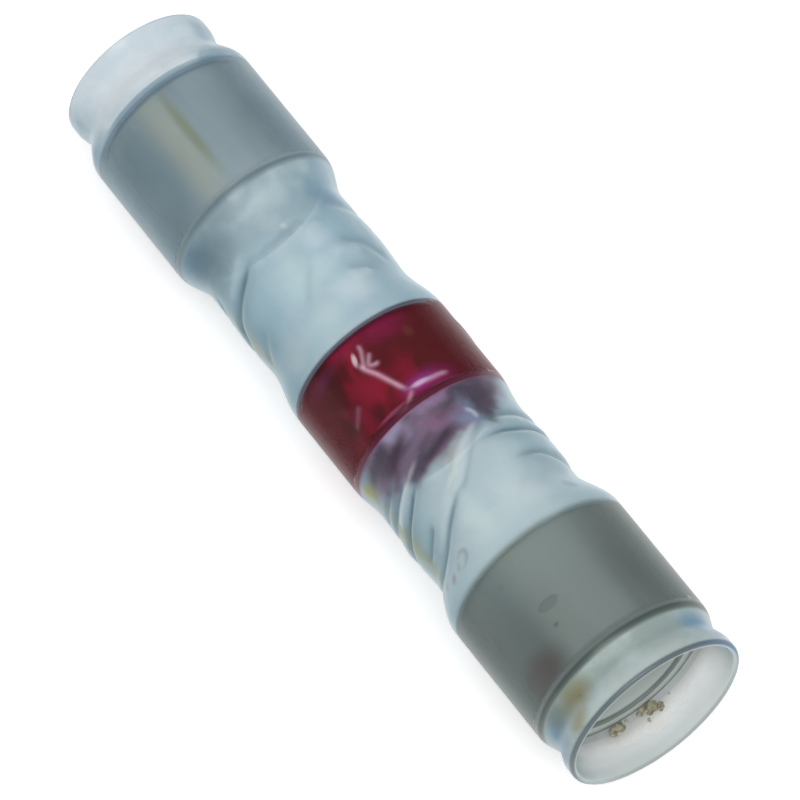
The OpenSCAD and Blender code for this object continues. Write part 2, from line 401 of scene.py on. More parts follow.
# Film: polyolefin, extruded and half shrunk. It is a thin clear skin, cloudy where it
# hangs free and almost unseen where it lies tight on what it holds.
filmSize = sizes["film_sleeve"]
rearRing, frontRing, solder = (sizes[n] for n in ("rear_sealing_ring", "front_sealing_ring", "solder_ring"))
film = {
    "wall": 0.3,  # lengths are in mm
    "gap": 0.02,  # between the film and what it holds
    "held": 0.2,  # its hold stops this far inside the ends of a ring
    "slack": 0.9,  # and it hangs free this far from there
    "lipRun": 0.55,
    "waistInset": 1.4,
    "frontWaistDraw": 0.32,
    "frontRimFlare": 0.23,
    "rearWaistDraw": 0.6,
    "rearRimFlare": 0.16,
    "frontNeck": [(4.6, 3.86), (7.2, 3.97), (8.9, 3.87)],  # (place along, outer radius)
    "rearNeck": [(-8.9, 3.64), (-5.8, 3.75), (-4.0, 3.66)],
    "wander": 0.07,  # height of the soft lumps where it hangs free
    "wanderSize": 3.2,
    "seed": 4.0,
    "arcSteps": 256,
    "neckStep": 0.1,
    "bandStep": 0.14,
    "plainStep": 0.45,
    "shoulderStep": 0.16,
    # folds from its shrinking, as drawn lines; the height is a share of foldHeight, below 0
    # in a furrow
    "foldHeight": 0.13,
    "foldFade": 0.24,
    "folds": [
        ([(7.14, 103.5), (7.48, 113.7), (8.1, 128.3), (8.81, 145), (9.38, 162.4), (9.56, 177.1),
          (9.49, 189.1), (9.3, 205), (8.9, 222)], -0.95, 0.17, 0),
        ([(5.54, 125.5), (5.75, 132.4), (6.08, 142.7), (6.52, 154.4), (6.98, 172.3), (7.35, 190),
          (7.6, 208), (7.7, 226)], -1.1, 0.16, 0),
        ([(4.97, 133.8), (5.22, 142.7), (5.56, 154.4), (5.83, 167), (5.92, 172.3), (6.05, 188), (6.1, 206),
          (6.3, 224)], -0.9, 0.15, 1),
        ([(4.71, 144.3), (4.98, 154.4), (5.22, 168.3), (5.3, 184), (5.35, 198)], -0.7, 0.14, 0),
        ([(7.61, 142.7), (8.07, 153.5), (8.41, 167), (8.51, 173.8)], -0.9, 0.16, 0),
        ([(5.5, 84), (5.42, 74), (5.41, 64.6), (5.42, 54.8), (5.5, 41.8), (5.7, 24), (6.1, 4), (6.6, -18),
          (7.2, -40)], -0.8, 0.17, 0),
        ([(6.3, 96), (6.26, 86), (6.25, 76), (6.26, 66.3), (6.38, 54.8), (6.45, 38.3), (6.75, 20),
          (7.25, 0), (7.85, -22), (8.4, -44)], -1, 0.17, 1),
        ([(7.8, 84), (7.76, 73), (7.76, 62.8), (7.82, 51.4), (8.04, 40.1), (8.25, 28.1), (8.6, 10),
          (9.05, -12), (9.4, -34)], -0.75, 0.2, 0),
        ([(5.9, 84), (6.4, 93), (6.9, 100), (7.4, 108), (7.9, 118)], -0.45, 0.13, 5),
        ([(5.22, 74.5), (5.5, 83.4), (5.95, 94.3), (6.43, 104.7), (6.9, 113.7), (7.45, 125.5)],
         0.5, 0.15, 2),
        ([(5.95, 84.8), (6.55, 98.3), (7.15, 111.2), (7.75, 124.2), (8.42, 139.6), (9.01, 158.3)],
         0.4, 0.34, 3),
        ([(4.99, 122.2), (5.25, 130.3), (5.59, 140.4), (6, 151.7), (6.42, 168.3), (6.51, 175.4)],
         0.44, 0.11, 2),
        ([(5.41, 136.7), (5.78, 148.3), (6.19, 160.3), (6.5, 172.3)], 0.35, 0.2, 3),
        ([(4.49, 79.8), (4.86, 76), (5.29, 76)], 0.5, 0.1, 4),
        ([(5.73, 66.3), (5.78, 55.9), (5.88, 41.8)], 0.25, 0.2, 5),
        ([(-7.77, 122.4), (-7.39, 134), (-6.98, 148.6), (-6.65, 162.7), (-6.33, 176.8), (-5.81, 186.1),
          (-5.5, 200), (-5.2, 216)], -1.05, 0.24, 0),
        ([(-8.13, 129.5), (-7.77, 140.2), (-7.4, 152.3), (-7.06, 165.1)], 0.3, 0.24, 1),
        ([(-4.99, 152.3), (-4.71, 161.5), (-4.28, 171.8), (-3.94, 180.9)], -0.45, 0.24, 0),
        ([(-5.96, 73.7), (-5.72, 63), (-5.33, 52.1), (-4.77, 43.8), (-4.09, 36.3)], -0.5, 0.32, 0),
        ([(-4.46, 81.7), (-4.34, 73.7), (-4.13, 64), (-3.9, 54.5)], -0.42, 0.32, 0),
        ([(-7.89, 70.3), (-7.88, 56.8), (-7.72, 43.8), (-7.5, 26), (-7.1, 6), (-6.5, -16), (-5.8, -38)],
         -0.45, 0.3, 0),
        ([(-5.59, 96.2), (-5.07, 103.8), (-4.47, 111.3), (-3.82, 119.6)], -0.3, 0.22, 0),
        ([(-4.1, 83.2), (-3.95, 73.7), (-3.71, 63)], 0.5, 0.3, 1),
        ([(-5.42, 83.2), (-5.23, 70.3), (-4.88, 59)], 0.4, 0.3, 2),
        ([(-7.91, 95.5), (-7.56, 96.9)], 0.5, 0.12, 0),
        # the rest are out of sight in the photo
        ([(4.75, 22), (5, 4), (5.45, -16), (6.1, -40), (6.6, -58)], -0.8, 0.15, 2),
        ([(5.2, 30), (5.5, 10), (6, -12), (6.6, -36)], 0.35, 0.16, 3),
        ([(6.1, 34), (6.45, 14), (6.95, -8), (7.5, -30)], 0.35, 0.16, 4),
        ([(7.6, 40), (7.85, 22), (8.3, 2), (8.8, -20)], 0.3, 0.2, 5),
        ([(4.6, 196), (4.9, 214), (5.3, 232), (5.5, 246)], -0.6, 0.16, 2),
        ([(6.6, 182), (6.9, 200), (7, 218)], 0.35, 0.18, 3),
        ([(-8.3, 176), (-7.7, 192), (-7.1, 210), (-6.6, 230)], -0.7, 0.18, 1),
        ([(-6.4, 226), (-5.6, 240), (-5, 252)], -0.6, 0.16, 0),
        ([(-6.6, 28), (-6.1, 10), (-5.4, -10), (-4.6, -30)], -0.75, 0.18, 1),
        ([(-7, 22), (-6.55, 4), (-5.9, -14), (-5.2, -32)], 0.35, 0.18, 2),
        ([(-8.8, 14), (-8.5, -4), (-8, -26), (-7.5, -48)], -0.8, 0.16, 0),
        ([(-8.35, 20), (-8, 0), (-7.45, -20)], 0.3, 0.2, 3),
    ],
    # ridges where the flux set before the film had drawn smooth over it
    "ridgeHeight": 0.06,
    "ridgeFade": 0.2,
    "ridges": [
        ([(-0.35, 117.5), (0.22, 115), (0.8, 110.5), (1.54, 106), (2.1, 102.4), (2.38, 98.6)], 1, 0.12, 0),
        ([(2.38, 98.6), (2.33, 91), (2.39, 84), (2.41, 76), (2.45, 68)], 1, 0.11, 1),
        ([(2.3, 97), (2.69, 103.6), (2.93, 108.6), (2.92, 116), (2.8, 122)], 0.7, 0.1, 2),
        ([(0.3, 115.5), (-0.2, 111.7), (-0.59, 109), (-0.95, 108.6)], 0.8, 0.1, 1),
        ([(-0.3, 104.5), (0, 108.6), (0.23, 110.5), (0.38, 106.7), (0.27, 103)], 0.8, 0.1, 2),
        ([(1.2, 133), (1.65, 141), (2, 148)], 0.25, 0.14, 1),
        ([(-0.6, 30), (0.8, 10), (1.9, -8)], 0.6, 0.2, 0),
        ([(2.2, 205), (0.9, 224), (0.2, 240)], 0.6, 0.2, 0),
    ],
    # streaks of flux that ran out along the folds
    "streakFade": 0.25,
    "streaks": [
        ([(4.88, 87.6), (5.17, 100.9), (5.51, 116.3), (5.71, 128.3), (5.77, 138.2)], 0.9, 0.24, 0),
        ([(3.68, 116.3), (4.07, 128.3), (4.47, 141.2), (4.79, 154.4)], 1, 0.28, 1),
        ([(5.03, 62.8), (5.4, 66), (5.72, 70.5)], 0.9, 0.25, 2),
        ([(4.6, 103.5), (4.75, 113.7), (4.98, 124.2)], 0.5, 0.16, 2),
        ([(4.1, 84), (4.25, 92), (4.3, 101)], 0.35, 0.2, 1),
        ([(4.3, 52), (4.8, 58), (5.3, 60)], 0.6, 0.3, 0),
    ],
    # pools of that flux, as marks; the one with no tint lies in mixed strokes
    "strokeFineness": 1.6,  # strokes to a mm
    "strokeTones": [(0.38, "#3E2C42"), (0.5, "#5E4660"), (0.68, "#705674")],
    "strokeSlant": 0.25,
    "strokeSqueeze": 0.3,
    "poolRagged": 1.5,
    "pools": [
        (4.1, 106, 1.75, 4.9, -6, 0.2, None, 0.94),
        (4.1, 68, 1.4, 1.0, 0, 0.6, "#403A48", 0.9),
        (4.87, 79, 0.7, 0.6, 0, 0.8, "#7C86A4", 0.8),
        (3.9, 150, 0.9, 1.2, 0, 0.7, "#3C3444", 0.9),
        (3.35, 112, 0.22, 2.2, 0, 0.8, "#8C7294", 0.8),
        (3.62, 126, 0.4, 0.6, 0, 0.8, "#948CA8", 0.8),
        (4.35, 98, 0.45, 0.9, 0, 0.8, "#835E7E", 0.7),
        (4.6, 123, 0.4, 0.7, -20, 0.8, "#6E6078", 0.7),
    ],
    # marks with a ragged rim, stains with painted light among them, and small ones with a clean rim
    "stainAndLightRagged": 1.2,
    "stainsAndLight": [
        # painted shade down both flanks, where the film turns away
        (0.0, 34, 20.5, 2.4, 0, 0.8, "#84ACC0", 0.55),
        (0.0, 182, 20.5, 2.4, 0, 0.8, "#749EAE", 0.75),
        # pale patches of painted light on the rear neck
        (-6.6, 84, 0.6, 0.7, 0, 0.9, "#E4F4FC", 0.6),
        (-3.4, 84, 0.7, 0.8, 0, 0.9, "#E4F4FC", 0.7),
        (-5.1, 93, 0.5, 0.9, 0, 0.9, "#DCF0F6", 0.5),
        (-5.2, 112, 1.1, 0.7, 0, 0.9, "#DCF4F4", 0.5),
        (-2.7, 114, 0.7, 0.9, 0, 0.9, "#DCF4F4", 0.4),
        (-7.3, 100, 0.25, 1.6, 0, 0.9, "#8FA6B0", 0.5),
        (-8.4, 50, 0.7, 0.8, 0, 0.9, "#5F92B4", 0.6),
        # the next two: painted highlights on the rear ring's front shoulder
        (-9.3, 90, 0.5, 0.9, 0, 0.7, "#C8DCE2", 0.7),
        (-10.1, 56, 0.4, 0.5, 0, 0.7, "#C4D4D8", 0.6),
        (-9.8, 165, 0.6, 0.9, 0, 0.8, "#5F96BA", 0.5),
        (-9.4, 160, 1.1, 1.8, 0, 0.9, "#54727E", 0.75),
        (-9.9, 118, 0.4, 1.6, 0, 0.9, "#8296A0", 0.5),
        (-18.1, 112, 0.8, 3.2, 0, 0.9, "#DCE2E6", 0.65),
        # pale patches of painted light on the front neck
        (9.4, 88, 1.0, 0.9, 0, 0.9, "#E2F2F6", 0.6),
        (9.4, 118, 1.1, 0.6, 0, 0.9, "#E2F4F4", 0.6),
        (7.7, 78, 0.8, 0.7, 0, 0.9, "#D4EAF0", 0.5),
        (6.1, 105, 0.25, 0.5, 20, 0.8, "#C8B8BC", 0.5),
        (6.8, 112, 1.1, 0.14, 32, 0.8, "#B6C8B0", 0.6),
        (18.4, 141, 0.6, 0.9, 0, 0.9, "#7E7840", 0.85),
        (19.35, 148, 0.35, 0.5, 0, 0.9, "#8E8648", 0.7),
        (18.7, 42, 0.6, 0.9, 0, 0.8, "#6496B6", 0.9),
        (18.1, 163, 0.7, 0.9, 0, 0.9, "#56605A", 0.75),
        (18.85, 178, 0.7, 0.9, 0, 0.8, "#5486A0", 0.95),
        # painted light on the inner wall low in the mouth, where it lies in shade
        (18.4, 288, 2.0, 5.6, 0, 0.2, "#D2DADA", 0.9),
        (17.9, 288, 0.6, 5.2, 0, 0.6, "#FFFFFF", 0.8),
        (17.9, 286, 0.7, 0.8, 0, 0.9, "#B8AC8A", 0.6),
        (17.9, 263, 0.6, 0.8, 0, 0.9, "#A0966A", 0.7),
        (4.05, 176, 0.3, 0.6, 0, 0.8, "#A2A848", 0.9),
        (7.4, 176, 2.2, 0.5, 0, 0.9, "#9CA274", 0.7),
        (-5.2, 180, 1.6, 0.45, 0, 0.9, "#9CA274", 0.6),
    ],
    "specks": [
        (10.1, 141, 0.46, 0.4, 25, 0.25, "#6F858A", 0.55),
        (10.16, 142.4, 0.36, 0.28, 25, 0.4, "#BACED2", 0.9),
        (10.26, 146, 0.2, 0.12, 40, 0.5, "#8A9CA0", 0.5),
        (10.4, 154, 0.2, 0.16, 30, 0.6, "#8A7C78", 0.7),
        (10.2, 165, 0.18, 0.16, 0, 0.6, "#8A7C78", 0.6),
        (10.1, 56, 0.35, 0.3, 0, 0.6, "#86A2B8", 0.6),
    ],
    # for each end, (how far from it, colour where it is solid, how solid each skin looks)
    # the dark stops at the ends of the rings and of the solder are painted shade where the film turns over
    # those ends
    "tints": [
        (filmSize["rear"], [(0.0, "#A6BECC", 0.4)]),
        (rearRing["rear"], [(-0.6, "#9AB8C8", 0.46), (0.36, "#9CB8C6", 0.46), (0.52, "#4C7A94", 0.7),
            (0.66, "#84969E", 0.03)]),
        (rearRing["front"], [(-0.2, "#84969E", 0.03), (0.08, "#869AA0", 0.7), (0.16, "#5A707A", 0.75),
            (0.24, "#5A707A", 0.75), (0.34, "#A4BAC2", 0.68), (2.4, "#AEC6D0", 0.58),
            (3.4, "#B8D6E2", 0.54)]),
        (solder["rear"], [(0.26, "#B8D4E0", 0.52), (0.38, "#342440", 0.6), (0.5, "#5E1420", 0.02)]),
        (solder["front"], [(-0.06, "#5E1420", 0.02), (0.08, "#560C2C", 0.85), (0.28, "#560C2C", 0.85),
            (0.4, "#8A7E98", 0.66), (0.7, "#BCD4DC", 0.54)]),
        (frontRing["rear"], [(0.26, "#C4DAE0", 0.54), (0.42, "#98A8A6", 0.6), (0.58, "#727E7C", 0.03)]),
        (frontRing["front"], [(-0.42, "#727E7C", 0.03), (-0.12, "#6C7876", 0.8),
            (-0.02, "#3C4844", 0.95), (0.14, "#3C4844", 0.95), (0.22, "#98A8A4", 0.86),
            (1.0, "#A2B2AE", 0.56)]),
        (filmSize["front"], [(-1.1, "#AEBEBC", 0.52), (0.0, "#CAD6D4", 0.5)]),
    ],
    # what lies over that, as (strength, tint)
    "cloud": (0.7, "#D0E0E6"),
    "cloudFineness": 0.5,  # patches to a mm
    # a painted highlight along each crest and painted shade in each furrow
    "crest": (0.6, "#E8F2F4"),
    "furrow": (0.95, "#547280"),
    "streak": (0.8, "#33202F"),
    "lip": ("#5C6A6E", "#4C6E92", "#76848A"),  # line on the cut end: above, on the far flank, below
    "lipInset": (0.3, 0.16),  # how far from the cut end that line starts, and is full
    "lipDepth": (0.2, 0.1),  # and how far under the skin
    "farFlank": (1.5, 4.5),  # places across the flat sheet where the far flank starts, and is full
    "runGap": (0.26, 0.36),  # how far from the solder run-out flux starts to show, and is full
    "mouthInset": (0.8, 0.5),  # how far inside the front ring its mouth starts, and is full
    "thicker": {"furrow": 0.4, "crest": 0.2, "smear": 0.4, "lip": 0.5},  # how much more solid these look
    "roughness": 0.28,
    "litPlace": -1.33,  # place across the flat sheet that faces the light
    "unlit": (6.2, 7.6),  # how far from there the side away from it starts, and is full
    "faint": (0.8, "#8C9CA2", "#C8D2D2"),  # lines on that side: strength, tints behind and in the mouth
    "clearMouth": (frontRing["front"] + 0.5, 288, 0.9, 5.4, 0, 0.5, 1.0),  # low in the mouth, as a mark
}


def over(ring):
    return ring["outer"] + film["gap"] + film["wall"]


def filmOutline():
    # (name, place, outer radius), rear to front
    rear, front, held = filmSize["rear"], filmSize["front"], film["held"]
    frontWaist = over(frontRing) - film["frontWaistDraw"]
    rearWaist = over(rearRing) - film["rearWaistDraw"]
    return [
        ("Rear rim", rear, rearWaist + film["rearRimFlare"]),
        ("Rear lip", rear + film["lipRun"], rearWaist + film["rearRimFlare"]),
        ("Rear waist", rear + film["waistInset"], rearWaist),
        ("Rear ring rear", rearRing["rear"] + held, over(rearRing)),
        ("Rear ring front", rearRing["front"] - held, over(rearRing)),
        *((f"Rear neck {i + 1}", x, r) for i, (x, r) in enumerate(film["rearNeck"])),
        ("Solder rear", solder["rear"] + held, over(solder)),
        ("Solder front", solder["front"] - held, over(solder)),
        *((f"Front neck {i + 1}", x, r) for i, (x, r) in enumerate(film["frontNeck"])),
        ("Front ring rear", frontRing["rear"] + held, over(frontRing)),
        ("Front ring front", frontRing["front"] - held, over(frontRing)),
        ("Front waist", front - film["waistInset"], frontWaist),
        ("Front lip", front - film["lipRun"], frontWaist + film["frontRimFlare"]),
        ("Front rim", front, frontWaist + film["frontRimFlare"]),
    ]


outline = filmOutline()


def filmSheet():
    # the film's section, rear rim to front rim along the skin and back along the inside
    rear, front, wall = filmSize["rear"], filmSize["front"], film["wall"]
    lip = wall / 2
    at = {name: place for name, place, _ in outline}
    zones = [
        (at["Rear ring rear"], "shoulderStep"), (at["Rear ring front"], "plainStep"),
        (at["Solder rear"], "neckStep"), (at["Solder front"], "bandStep"),
        (at["Front ring rear"], "neckStep"), (at["Front ring front"], "plainStep"),
        (front - lip, "shoulderStep"),
    ]
    skin, start = [], rear + lip
    for stop, step in zones:
        skin += [(x, 0.0) for x in spread(start, stop, film[step]) + [stop]]
        start = stop
    skin.pop()
    inside = [(x, wall) for x, _ in reversed(skin[::3])]
    return flatSheet("filmSheet", [
        *skin,
        *roundCorner(front - lip, lip, lip, 0, 3),
        *roundCorner(front - lip, lip, lip, 90, 3)[1:],
        *inside,
        *roundCorner(rear + lip, lip, lip, 180, 3),
        *roundCorner(rear + lip, lip, lip, 270, 3)[1:],
    ], film["arcSteps"])


def noiseRise(tree, flat, size, amount, seed, detail=1.5):
    # soft lumps of a given size, from -amount / 2 to amount / 2, that join at the seam
    sine, cosine = turnWaves(tree, flat)
    along = addNode(tree, "ShaderNodeMath", {0: flat["X"], 1: wrapRadius}, operation="DIVIDE")
    place = addNode(tree, "ShaderNodeCombineXYZ", {"X": along, "Y": sine, "Z": cosine})
    scale = addNode(tree, "ShaderNodeMath", {0: wrapRadius, 1: size}, operation="DIVIDE")
    noise = addNode(tree, "ShaderNodeTexNoise", {
        "Vector": place, "W": seed, "Scale": scale, "Detail": detail,
    }, noise_dimensions="4D")
    centred = addNode(tree, "ShaderNodeMath", {0: noise, 1: 0.5}, operation="SUBTRACT")
    return addNode(tree, "ShaderNodeMath", {0: centred, 1: amount}, operation="MULTIPLY")


def storeValues(tree, geometry, values, colours=()):
    # keeps named values on a geometry's points, for its material
    for name, value in values.items():
        geometry = addNode(tree, "GeometryNodeStoreNamedAttribute", {
            "Geometry": geometry, "Name": name, "Value": value,
        }, data_type="FLOAT_COLOR" if name in colours else "FLOAT", domain="POINT")
    return geometry


def layMarks(tree, places, marks, under=("#000000", 0.0), mottled=None):
    # marks laid one over another: their colour, and how far they hide what is under them
    colour, cover = under
    for *shape, tint, strength in marks:
        share = markMask(tree, places, *shape, strength)
        colour = addLayers(tree, colour, (share, tint or mottled))
        cover = addNode(tree, "ShaderNodeMix", {0: share, 2: cover, 3: 1.0})
    return colour, cover


def raggedPlaces(tree, flat, amount):
    # places on a sheet, astray by up to half the amount, which gives marks a ragged rim
    ragged = {}
    for label, axis, seed in (("Along", "X", 11.0), ("Around", "Y", 12.0)):
        stray = noiseRise(tree, flat, size=1.1, amount=amount, seed=seed, detail=3.0)
        ragged[label] = addNode(tree, "ShaderNodeMath", {0: flat[axis], 1: stray})
    return ragged


def layFlux(tree, flat):
    # flux that ran out of the solder ring: it lies in strokes, drawn out round the film
    slanted = addNode(tree, "ShaderNodeMath", {0: flat["Y"], 1: film["strokeSlant"], 2: flat["X"]},
                      operation="MULTIPLY_ADD")
    squeezed = addNode(tree, "ShaderNodeMath", {0: flat["Y"], 1: film["strokeSqueeze"]},
                       operation="MULTIPLY")
    place = addNode(tree, "ShaderNodeCombineXYZ", {"X": slanted, "Y": squeezed})
    strokes = addNode(tree, "ShaderNodeTexNoise", {
        "Vector": place, "Scale": film["strokeFineness"], "Detail": 4.0,
    })
    mottled = setStops(addNode(tree, "ShaderNodeValToRGB", {0: strokes}), film["strokeTones"])
    return layMarks(tree, raggedPlaces(tree, flat, film["poolRagged"]), film["pools"], mottled=mottled)


def outlineRadius(tree, into, along):
    # the film's radius, in smooth steps from each place of its outline to the next
    radius = into[outline[0][0] + " radius"]
    for (name, *_), (following, *_) in zip(outline, outline[1:]):
        change = addNode(tree, "ShaderNodeMath", {
            0: into[following + " radius"], 1: into[name + " radius"],
        }, operation="SUBTRACT")
        step = addNode(tree, "ShaderNodeMapRange", {
            "Value": along, "From Min": into[name + " place"], "From Max": into[following + " place"],
            "To Max": change,
        }, interpolation_type="SMOOTHSTEP")
        radius = addNode(tree, "ShaderNodeMath", {0: radius, 1: step})
    return radius


def freeShare(tree, into, along):
    # 1 where nothing holds the film from inside and 0 on the rings and the solder
    free = 1.0
    for held in ("Rear ring", "Solder", "Front ring"):
        start, stop = into[held + " rear place"], into[held + " front place"]
        before = addNode(tree, "ShaderNodeMath", {0: start, 1: into["Slack"]}, operation="SUBTRACT")
        after = addNode(tree, "ShaderNodeMath", {0: stop, 1: into["Slack"]})
        for low, high, change in ((before, start, -1.0), (stop, after, 1.0)):
            step = addNode(tree, "ShaderNodeMapRange", {
                "Value": along, "From Min": low, "From Max": high, "To Max": change,
            }, interpolation_type="SMOOTHSTEP")
            free = addNode(tree, "ShaderNodeMath", {0: free, 1: step})
    return free


def pressFlat(tree, into, geometry):
    # where the film lies on the floor it is pressed flat
    place = pointPlace(tree)
    drop = addNode(tree, "ShaderNodeMath", {
        0: place["X"], 1: into["Floor rise"], 2: into["Floor depth"],
    }, operation="MULTIPLY_ADD")
    floor = addNode(tree, "ShaderNodeMath", {0: drop, 1: -1.0}, operation="MULTIPLY")
    height = addNode(tree, "ShaderNodeMath", {0: place["Z"], 1: floor}, operation="MAXIMUM")
    pressed = addNode(tree, "ShaderNodeCombineXYZ", {"X": place["X"], "Y": place["Y"], "Z": height})
    return addNode(tree, "GeometryNodeSetPosition", {"Geometry": geometry, "Position": pressed})


def shrunkFilm():
    numbers = ["Fold height", "Ridge height", "Wander", "Wander size", "Seed", "Slack"]
    numbers += ["Floor depth", "Floor rise"]
    numbers += [name + what for name, *_ in outline for what in (" place", " radius")]
    tree, into, out = newTree("shrunkFilm", "GeometryNodeTree", {
        "Geometry": "Geometry", "Folds": "Object", "Ridges": "Object", "Streaks": "Object",
        **dict.fromkeys(numbers, "Float"), "Material": "Material",
    }, {"Geometry": "Geometry"})
    flat = pointPlace(tree)
    folds = addFolds(tree, into["Folds"], film["folds"], film["foldFade"])
    ridges = addFolds(tree, into["Ridges"], film["ridges"], film["ridgeFade"])
    streaks = addFolds(tree, into["Streaks"], film["streaks"], film["streakFade"])
    wander = noiseRise(tree, flat, into["Wander size"], into["Wander"], into["Seed"])
    radius = outlineRadius(tree, into, flat["X"])
    for rise, amount in (
        (folds["Rise"], into["Fold height"]),
        (ridges["Crest"], into["Ridge height"]),
        (wander, freeShare(tree, into, flat["X"])),
    ):
        radius = addNode(tree, "ShaderNodeMath", {0: rise, 1: amount, 2: radius}, operation="MULTIPLY_ADD")
    stainsAndLight = layMarks(tree, raggedPlaces(tree, flat, film["stainAndLightRagged"]), film["stainsAndLight"])
    stain, stained = layMarks(tree, {"Along": flat["X"], "Around": flat["Y"]}, film["specks"], stainsAndLight)
    flux, fluxed = layFlux(tree, flat)
    marked = storeValues(tree, into["Geometry"], {
        "furrow": folds["Furrow"], "crest": folds["Crest"], "streak": streaks["Crest"],
        "stain": stain, "stained": stained, "flux": flux, "fluxed": fluxed,
    }, colours=("stain", "flux"))
    finishTree(tree, pressFlat(tree, into, rollSheet(tree, marked, radius)), into["Material"], out)
    return tree


def addClouds(tree, colour, places, named):
    # cloudy patches, where the film is a little thicker, and the marks over them: stains and painted light
    strength, tint = film["cloud"]
    clouds = addNode(tree, "ShaderNodeTexNoise", {
        "Vector": places["Place"], "Scale": film["cloudFineness"], "Detail": 5.0,
    })
    cloudy = addNode(tree, "ShaderNodeMapRange", {
        "Value": clouds, "From Min": 0.45, "From Max": 0.7, "To Max": strength,
    })
    bare = addLayers(tree, colour, (cloudy, tint), (named["stained"], "#000000"))
    return addNode(tree, "ShaderNodeVectorMath", {0: bare, 1: named["stain"]})


def unlitShare(tree, places):
    # 1 on the side that lies away from the light
    start, full = film["unlit"]
    fromTop = addNode(tree, "ShaderNodeMath", {0: places["Around"], 1: film["litPlace"]},
                      operation="SUBTRACT")
    fromTop = addNode(tree, "ShaderNodeMath", {0: fromTop}, operation="ABSOLUTE")
    return addNode(tree, "ShaderNodeMapRange", {"Value": fromTop, "From Min": start, "From Max": full})


def addRingLines(tree, colour, places, tints, unlit):
    # clouds and marks stay off the painted shade lines at the ends of the rings and off what the film
    # holds, and on the side away from the light those lines are faint
    strength, behind, ahead = film["faint"]
    bright = addNode(tree, "ShaderNodeRGBToBW", {0: tints})
    lined = addNode(tree, "ShaderNodeMapRange", {
        "Value": bright, "From Min": 0.22, "From Max": 0.42, "To Min": 1.0, "To Max": 0.0,
    })
    faint = addNode(tree, "ShaderNodeMath", {0: unlit, 1: lined}, operation="MULTIPLY")
    faint = addNode(tree, "ShaderNodeMath", {0: faint, 1: strength}, operation="MULTIPLY")
    start, full = (frontRing["front"] - inset for inset in film["mouthInset"])
    mouth = addNode(tree, "ShaderNodeMapRange", {
        "Value": places["Along"], "From Min": start, "From Max": full,
    })
    tint = addLayers(tree, behind, (mouth, ahead))
    return addLayers(tree, colour, (lined, tints), (faint, tint)), faint


def addRunFlux(tree, colour, places, named):
    # flux that ran out of the solder ring along the inside of the film
    strength, tint = film["streak"]
    start, full = film["runGap"]
    outside = addNode(tree, "ShaderNodeMapRange", {
        "Value": places["Along"], "From Min": solder["front"] + start, "From Max": solder["front"] + full,
    })
    pool = addNode(tree, "ShaderNodeMath", {0: named["fluxed"], 1: outside}, operation="MULTIPLY")
    bare = addLayers(tree, colour, (pool, "#000000"))
    colour = addNode(tree, "ShaderNodeVectorMath", {0: named["flux"], 1: outside, 2: bare},
                     operation="MULTIPLY_ADD")
    streak = addNode(tree, "ShaderNodeMath", {0: named["streak"], 1: outside}, operation="MULTIPLY")
    dark = addNode(tree, "ShaderNodeMath", {0: streak, 1: strength}, operation="MULTIPLY", use_clamp=True)
    smear = addNode(tree, "ShaderNodeMath", {0: dark, 1: pool}, operation="MAXIMUM")
    return addLayers(tree, colour, (dark, tint)), smear


def addFoldShades(tree, colour, named):
    # crests get a painted highlight and furrows painted shade
    for name in ("crest", "furrow"):
        strength, tint = film[name]
        share = addNode(tree, "ShaderNodeMath", {0: named[name], 1: strength},
                        operation="MULTIPLY", use_clamp=True)
        colour = addLayers(tree, colour, (share, tint))
    return colour


def addLip(tree, colour, places, unlit):
    # the cut front end gathers the light into a dark line above, blue on its far flank,
    # and a thin grey one below
    end, rim = filmSize["front"], outline[-1][2]
    above, farFlank, below = film["lip"]
    atEnd, outer = (
        addNode(tree, "ShaderNodeMapRange", {
            "Value": places[where], "From Min": edge - start, "From Max": edge - full,
        })
        for where, edge, (start, full) in (
            ("Along", end, film["lipInset"]), ("Radius", rim, film["lipDepth"]),
        )
    )
    lip = addNode(tree, "ShaderNodeMath", {0: atEnd, 1: outer}, operation="MULTIPLY")
    start, full = film["farFlank"]
    flank = addNode(tree, "ShaderNodeMapRange", {
        "Value": places["Around"], "From Min": start, "From Max": full,
    })
    tint = addLayers(tree, above, (flank, farFlank), (unlit, below))
    return addLayers(tree, colour, (lip, tint)), lip


def filmDensity(tree, places, solid, shares, faint):
    # seen along the wall the film looks thicker
    facing = addNode(tree, "ShaderNodeLayerWeight", {"Blend": 0.3}).outputs["Facing"]
    grazing = addNode(tree, "ShaderNodeMath", {0: facing, 1: 2.0}, operation="POWER")
    tight = addNode(tree, "ShaderNodeMapRange", {
        "Value": solid, "From Min": 0.05, "From Max": 0.2, "To Min": 4.0, "To Max": 1.2,
    })
    dense = addNode(tree, "ShaderNodeMath", {0: grazing, 1: tight, 2: solid}, operation="MULTIPLY_ADD")
    for name, more in film["thicker"].items():
        dense = addNode(tree, "ShaderNodeMath", {0: shares[name], 1: more, 2: dense},
                        operation="MULTIPLY_ADD")
    dense = addNode(tree, "ShaderNodeClamp", {0: dense})
    # where its lines are faint, and low in the mouth, half of that is left
    inMouth = markMask(tree, places, *film["clearMouth"])
    clearer = addNode(tree, "ShaderNodeMath", {0: faint, 1: inMouth}, operation="MAXIMUM")
    left = addNode(tree, "ShaderNodeMath", {0: clearer, 1: -0.5, 2: 1.0}, operation="MULTIPLY_ADD")
    return addNode(tree, "ShaderNodeMath", {0: dense, 1: left}, operation="MULTIPLY")


